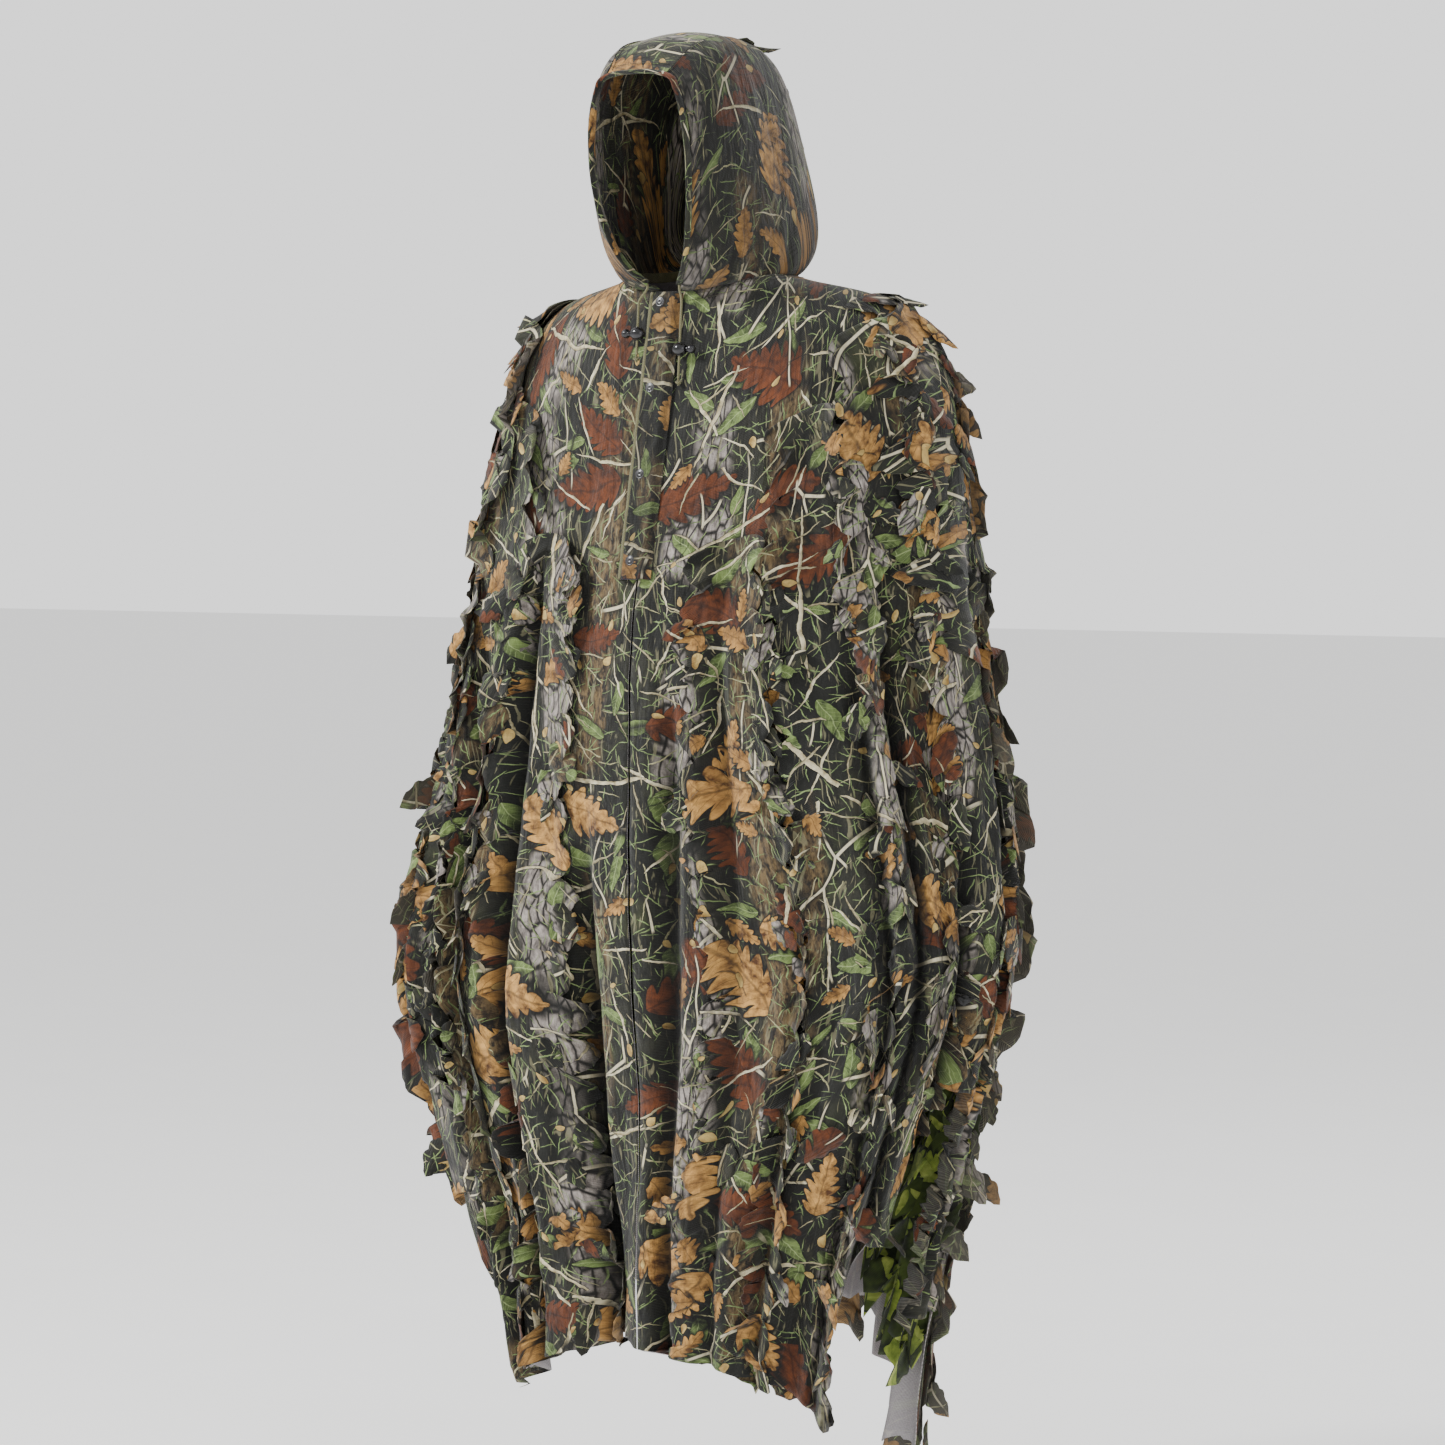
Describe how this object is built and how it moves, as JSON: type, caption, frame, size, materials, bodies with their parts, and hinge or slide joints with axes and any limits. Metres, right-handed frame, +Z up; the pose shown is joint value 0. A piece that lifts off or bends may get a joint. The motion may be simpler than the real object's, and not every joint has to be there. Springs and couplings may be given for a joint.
{
  "type": "hooded leafy camouflage poncho",
  "caption": "Hooded camouflage poncho of knitted mesh with sewn leaf-cut strips, a snapped neck placket and a drawcord with cord locks round the face opening.",
  "frame": {"origin": "the middle of the base of the throat between the shoulders, where the wearer's shoulders and neck hold the poncho up", "axes": "+Z up, the wearer faces -Y, the wearer's left is +X"},
  "size_m": [0.8344, 0.3053, 1.6887],
  "materials": {
    "camouflage_mesh": "knitted mesh printed with a dark woodland pattern",
    "leaf_cut_cloth": "printed cloth with leaf-cut edges",
    "lime_leaf_cloth": "bright green leaf-cut cloth",
    "plum_tape": "dark plum woven tape",
    "olive_tape": "olive woven binding tape",
    "olive_cord": "braided polyester cord",
    "black_plastic": "moulded, slightly glossy",
    "black_snap": "moulded snap fastener",
    "spring_steel": "plain wire"
  },
  "bodies": {
    "body_cloth": {"front_panel_left": "camouflage_mesh", "front_panel_right": "camouflage_mesh", "back_panel": "camouflage_mesh", "inner_leaf_layer": "lime_leaf_cloth", "leaf_strip_centre_left": "leaf_cut_cloth", "leaf_strip_centre_right": "leaf_cut_cloth", "leaf_strip_chest_left": "leaf_cut_cloth", "leaf_strip_chest_right": "leaf_cut_cloth", "leaf_strip_rib_left": "leaf_cut_cloth", "leaf_strip_rib_right": "leaf_cut_cloth", "leaf_strip_arm_left": "leaf_cut_cloth", "leaf_strip_arm_right": "leaf_cut_cloth", "leaf_strip_back_arm_left": "leaf_cut_cloth", "leaf_strip_back_arm_right": "leaf_cut_cloth", "leaf_strip_back_blade_left": "leaf_cut_cloth", "leaf_strip_back_blade_right": "leaf_cut_cloth", "leaf_strip_back_rib_left": "leaf_cut_cloth", "leaf_strip_back_rib_right": "leaf_cut_cloth", "leaf_strip_back_spine_left": "leaf_cut_cloth", "leaf_strip_back_spine_right": "leaf_cut_cloth", "neck_seam_tape": "olive_tape", "placket_underlay": "plum_tape", "underlay_edge_binding": "olive_tape", "snap_post_1": "black_snap", "snap_post_2": "black_snap", "snap_post_3": "black_snap", "snap_post_4": "black_snap", "snap_stud_1": "black_snap", "snap_stud_2": "black_snap", "snap_stud_3": "black_snap", "snap_stud_4": "black_snap", "drawcord_tail_left": "olive_cord", "drawcord_tail_right": "olive_cord", "drawcord_knot_left": "olive_cord", "drawcord_knot_right": "olive_cord"},
    "hood": {"hood_side_left": "camouflage_mesh", "hood_side_right": "camouflage_mesh", "hood_middle_strip": "camouflage_mesh", "leaf_strip_hood": "leaf_cut_cloth", "hood_hem_casing": "camouflage_mesh", "hood_drawcord": "olive_cord"},
    "placket_flap": {"placket_flap": "camouflage_mesh", "flap_edge_binding": "olive_tape", "snap_socket_1": "black_snap", "snap_socket_2": "black_snap", "snap_socket_3": "black_snap", "snap_socket_4": "black_snap", "snap_cap_1": "black_snap", "snap_cap_2": "black_snap", "snap_cap_3": "black_snap", "snap_cap_4": "black_snap"},
    "cord_lock_left": {"cord_lock_body_left": "black_plastic", "cord_lock_spring_left": "spring_steel"},
    "cord_lock_right": {"cord_lock_body_right": "black_plastic", "cord_lock_spring_right": "spring_steel"},
    "lock_button_left": {"cord_lock_button_left": "black_plastic"},
    "lock_button_right": {"cord_lock_button_right": "black_plastic"}
  },
  "joints": [
    {"name": "hood_push_back", "type": "hinge", "parent": "body_cloth", "child": "hood", "pos_m": [0, 0.113, 0.0315], "axis": [-1, 0, 0], "range_deg": [0, 40]},
    {"name": "placket_open", "type": "hinge", "parent": "body_cloth", "child": "placket_flap", "pos_m": [0.012, -0.07168, 0.00208], "axis": [0, 0.2099, 0.9777], "range_deg": [0, 85]},
    {"name": "lock_slide_left", "type": "slide", "parent": "body_cloth", "child": "cord_lock_left", "axis": [0, 0.0797, 0.9968], "range_m": [-0.012, 0.035]},
    {"name": "lock_slide_right", "type": "slide", "parent": "body_cloth", "child": "cord_lock_right", "axis": [0, 0.0797, 0.9968], "range_m": [-0.01, 0.02]},
    {"name": "lock_press_left", "type": "slide", "parent": "cord_lock_left", "child": "lock_button_left", "axis": [-1, 0, 0], "range_m": [0, 0.0025], "stiffness_N_per_m": 300, "springref_m": -0.002},
    {"name": "lock_press_right", "type": "slide", "parent": "cord_lock_right", "child": "lock_button_right", "axis": [1, 0, 0], "range_m": [0, 0.0025], "stiffness_N_per_m": 300, "springref_m": -0.002}
  ]
}
